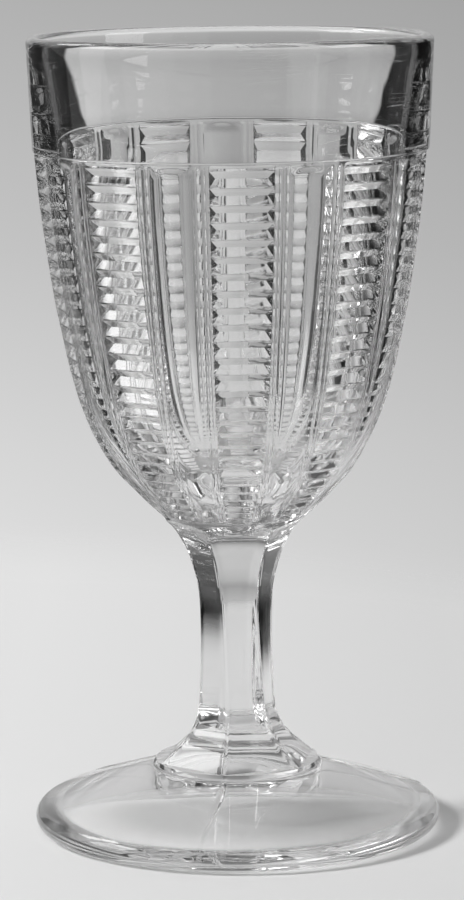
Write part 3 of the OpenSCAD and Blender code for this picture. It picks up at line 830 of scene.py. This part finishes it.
# %% The repeating tree
tree = bpy.data.node_groups.new("pressed goblet", "GeometryNodeTree")
tree.interface.new_socket("Geometry", in_out="OUTPUT", socket_type="NodeSocketGeometry")
sockets = {}
for name, kind in (("Bowl sector", "Object"), ("Bowl repeats", "Int"), ("Bowl turn", "Float"),
                   ("Stem sector", "Object"), ("Stem repeats", "Int"), ("Stem turn", "Float"),
                   ("Weld distance", "Float"), ("Glass", "Material")):
    sockets[name] = tree.interface.new_socket(name, in_out="INPUT", socket_type="NodeSocket" + kind)
given = add(tree, "NodeGroupInput").outputs


def repeat(part):
    """Turn copies of a sector round the axis of the glass."""
    shape = add(tree, "GeometryNodeObjectInfo", {"Object": given[part + " sector"]})
    points = add(tree, "GeometryNodePoints", {"Count": given[part + " repeats"]})
    index = add(tree, "GeometryNodeInputIndex")
    step = add(tree, "ShaderNodeMath", {
        0: 2 * math.pi, 1: given[part + " repeats"]}, operation="DIVIDE")
    angle = add(tree, "ShaderNodeMath", {
        0: index, 1: step, 2: given[part + " turn"]}, operation="MULTIPLY_ADD")
    turned = add(tree, "ShaderNodeCombineXYZ", {"Z": angle})
    return add(tree, "GeometryNodeInstanceOnPoints", {
        "Points": points, "Instance": shape.outputs["Geometry"], "Rotation": turned}).outputs[0]


joined = add(tree, "GeometryNodeJoinGeometry")
for part in ("Stem", "Bowl"):
    tree.links.new(repeat(part), joined.inputs[0])
real = add(tree, "GeometryNodeRealizeInstances", {0: joined})
welded = add(tree, "GeometryNodeMergeByDistance", {
    "Geometry": real, "Distance": given["Weld distance"]})
dressed = add(tree, "GeometryNodeSetMaterial", {"Geometry": welded, "Material": given["Glass"]})
add(tree, "NodeGroupOutput", {0: dressed})
print("tree nodes", len(tree.nodes))

# %% The goblet as one mesh
PATTERN_TURN, STEM_TURN, WELD = 3.0, -25.75, 0.004      # turned by 23 columns of 1.25 degrees

carrier = bpy.data.objects.new("carrier", bpy.data.meshes.new("carrier"))
bpy.context.collection.objects.link(carrier)
modifier = carrier.modifiers.new("pressed goblet", "NODES")
modifier.node_group = tree
for name, value in (("Bowl sector", bowl_sector), ("Bowl repeats", PANELS),
                    ("Bowl turn", math.radians(PATTERN_TURN)), ("Stem sector", stem_sector),
                    ("Stem repeats", SIDES), ("Stem turn", math.radians(STEM_TURN)),
                    ("Weld distance", WELD * MM), ("Glass", glass)):
    modifier[sockets[name].identifier] = value
carrier.update_tag()
ready = carrier.evaluated_get(bpy.context.evaluated_depsgraph_get())
goblet_mesh = bpy.data.meshes.new_from_object(ready)
goblet_mesh.name = "goblet_glass"
for helper in (carrier, bowl_sector, stem_sector):
    bpy.data.objects.remove(helper)
goblet = bpy.data.objects.new("goblet_glass", goblet_mesh)
bpy.context.collection.objects.link(goblet)
print("goblet", len(goblet_mesh.vertices), "points,", len(goblet_mesh.polygons), "faces")

# %% [markdown]
# ## The mould's seams
# The mould for the stem and foot opened in three leaves. Glass crept a little way into the three
# joints, so a fine fin follows every second corner of the stem and wanders out over the foot.
# Thin strips laid along those lines would look like glass inside glass. The mesh already has
# columns of points there, so the nearest ones are raised, and the goblet stays one solid.

# %% Fins along the seams
FIN_HIGH, FIN_HALF = (0.17, 0.24), (0.40, 0.55)  # height and half width, on the stem and the foot
FIN_RISE, FIN_END, FIN_LEFT = 12.0, 5.0, 0.2     # low at both ends: under the bowl, at the edge
TOUCH, HOLLOW_SKIN, FIN_FROM = 0.1, 0.3, 1.0     # what counts as the stem, the hollow and the foot
LEAVES = 3                                       # the leaves of the mould
SLIVER = 0.002                                   # faces thinner than this are taken out first

leaf = 360 / LEAVES
bm = bmesh.new()
bm.from_mesh(goblet_mesh)
bmesh.ops.dissolve_degenerate(bm, dist=SLIVER * MM, edges=bm.edges)
bmesh.ops.recalc_face_normals(bm, faces=bm.faces)
raised = []
for v in bm.verts:
    x, y, z = v.co / MM
    r = math.hypot(x, y)
    in_hollow = r < ring_in and z < HOLLOW * (1 - (r / ring_in) ** HOLLOW_FORM) + HOLLOW_SKIN
    on_foot = z < COLLAR_Z - TOUCH
    if z > NECK_Z or z < EDGE_H / 2 - TOUCH or in_hollow or (on_foot and r < COLLAR_R - FIN_FROM):
        continue
    drift = seam_drift(r) if on_foot else 0.0
    seam = STEM_TURN + STEM_TWIST * min(1.0, (NECK_Z - z) / stem_h) + drift
    away = (math.degrees(math.atan2(x, -y)) - seam + leaf / 2) % leaf - leaf / 2
    lift = FIN_HIGH[on_foot] * max(0.0, 1 - abs(math.radians(away)) * r / FIN_HALF[on_foot])
    lift *= min(1.0, (NECK_Z - z) / FIN_RISE, (FOOT_R - r) / FIN_END + FIN_LEFT)
    if lift > 0:
        raised.append((v, v.normal * lift * MM))
for v, move in raised:
    v.co += move
print("points raised along the seams", len(raised))

# %% Check that it is closed, and set its crisp edges
CREASE = 28                                      # edges sharper than this many degrees stay crisp

open_edges = sum(1 for e in bm.edges if len(e.link_faces) != 2)
volume = bm.calc_volume(signed=True)
for f in bm.faces:
    f.smooth = True
for e in bm.edges:
    e.smooth = len(e.link_faces) == 2 and e.calc_face_angle(0.0) < math.radians(CREASE)
bm.to_mesh(goblet_mesh)
bm.free()
triangles = sum(len(p.vertices) - 2 for p in goblet_mesh.polygons)
print("open edges", open_edges, "volume", round(volume * 1e6, 1), "cm3, triangles", triangles)
if not goblet_mesh.materials:
    goblet_mesh.materials.append(glass)

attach(goblet, "root")
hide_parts("bowl", "stem", "foot")

# %% [markdown]
# ## Last settings
# Light passes four walls of glass before it leaves the goblet, and more inside the facets, so
# rays may bend many times. The plain view transform shows colours as they are written.

# %% Render settings
BENDS, MIRRORINGS = 24, 12

scene = bpy.context.scene
scene.view_settings.view_transform = "Standard"
scene.cycles.max_bounces = scene.cycles.transmission_bounces = BENDS
scene.cycles.glossy_bounces = MIRRORINGS
